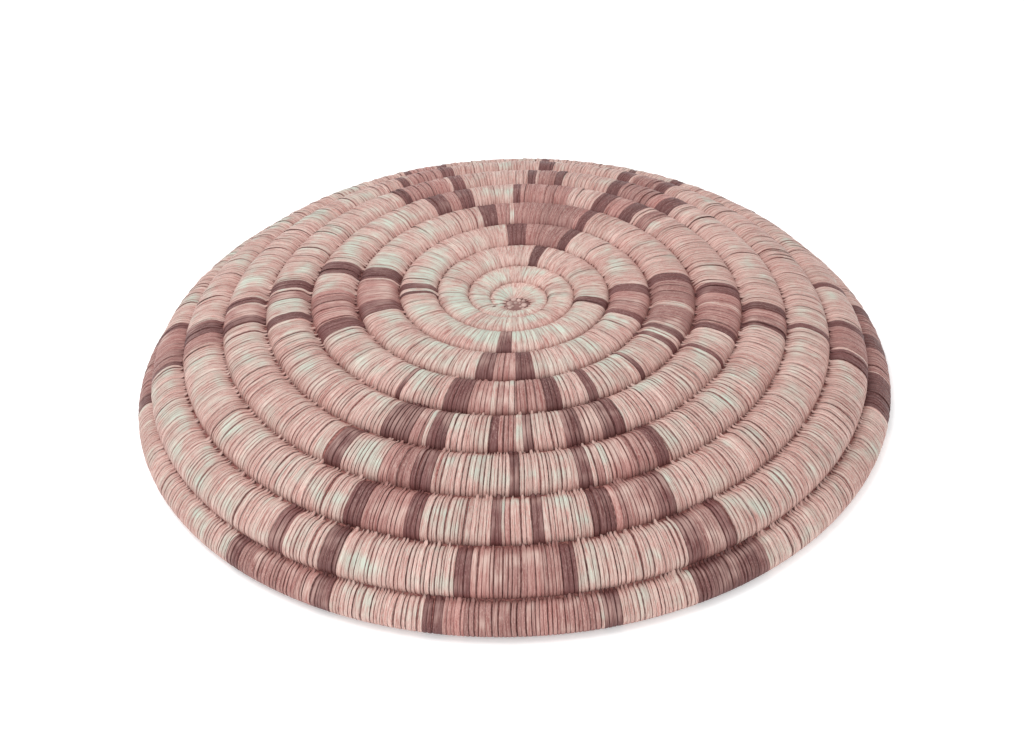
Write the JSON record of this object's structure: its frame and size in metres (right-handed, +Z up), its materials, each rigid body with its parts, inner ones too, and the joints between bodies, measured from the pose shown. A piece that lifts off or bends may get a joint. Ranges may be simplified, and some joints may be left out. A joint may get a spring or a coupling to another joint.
{
  "type": "coiled plaque",
  "caption": "Round coiled basketry plaque, a shallow dome lying rounded side up: a grass coil sewn over with natural, red and dark plant splints in a four-armed design.",
  "frame": {"origin": "middle of the flat on which the rim rests, under the middle of the plaque's box", "axes": "+Z up, out of the rounded side; -Y towards the picture's viewer; the coil winds clockwise seen from +Z"},
  "size_m": [0.3072, 0.3046, 0.0494],
  "materials": {
    "natural_splint": "matte",
    "dyed_splint": "matte",
    "knot_splint": "matte",
    "grass_bundle": "matte"
  },
  "bodies": {
    "root": {"start_knot": "knot_splint", "grass_foundation": "grass_bundle", "plain_wrap_start": "natural_splint", "dyed_wrap_r2_back": "dyed_splint", "plain_wrap_after_r2_back": "natural_splint", "dyed_wrap_r2_right": "dyed_splint", "plain_wrap_after_r2_right": "natural_splint", "dyed_wrap_r2_front": "dyed_splint", "plain_wrap_after_r2_front": "natural_splint", "dyed_wrap_r2_left": "dyed_splint", "plain_wrap_after_r2_left": "natural_splint", "dyed_wrap_r3_back": "dyed_splint", "plain_wrap_after_r3_back": "natural_splint", "dyed_wrap_r3_right": "dyed_splint", "plain_wrap_after_r3_right": "natural_splint", "dyed_wrap_r3_front": "dyed_splint", "plain_wrap_after_r3_front": "natural_splint", "dyed_wrap_r3_left": "dyed_splint", "plain_wrap_after_r3_left": "natural_splint", "dyed_wrap_r4_back": "dyed_splint", "plain_wrap_after_r4_back": "natural_splint", "dyed_wrap_r4_right": "dyed_splint", "plain_wrap_after_r4_right": "natural_splint", "dyed_wrap_r4_front": "dyed_splint", "plain_wrap_after_r4_front": "natural_splint", "dyed_wrap_r4_left": "dyed_splint", "plain_wrap_after_r4_left": "natural_splint", "dyed_wrap_r5_back": "dyed_splint", "plain_wrap_after_r5_back": "natural_splint", "dyed_wrap_r5_right": "dyed_splint", "plain_wrap_after_r5_right": "natural_splint", "dyed_wrap_r5_front": "dyed_splint", "plain_wrap_after_r5_front": "natural_splint", "dyed_wrap_r5_left": "dyed_splint", "plain_wrap_after_r5_left": "natural_splint", "dyed_wrap_r6_back": "dyed_splint", "plain_wrap_after_r6_back": "natural_splint", "dyed_wrap_r6_front": "dyed_splint", "plain_wrap_after_r6_front": "natural_splint", "dyed_wrap_r7_back": "dyed_splint", "plain_wrap_after_r7_back": "natural_splint", "dyed_wrap_r7_right": "dyed_splint", "plain_wrap_after_r7_right": "natural_splint", "dyed_wrap_r7_front": "dyed_splint", "plain_wrap_after_r7_front": "natural_splint", "dyed_wrap_r7_left": "dyed_splint", "plain_wrap_after_r7_left": "natural_splint", "dyed_wrap_r8_back": "dyed_splint", "plain_wrap_after_r8_back": "natural_splint", "dyed_wrap_r8_right": "dyed_splint", "plain_wrap_after_r8_right": "natural_splint", "dyed_wrap_r8_front": "dyed_splint", "plain_wrap_after_r8_front": "natural_splint", "dyed_wrap_r8_left": "dyed_splint", "plain_wrap_after_r8_left": "natural_splint"}
  },
  "joints": []
}
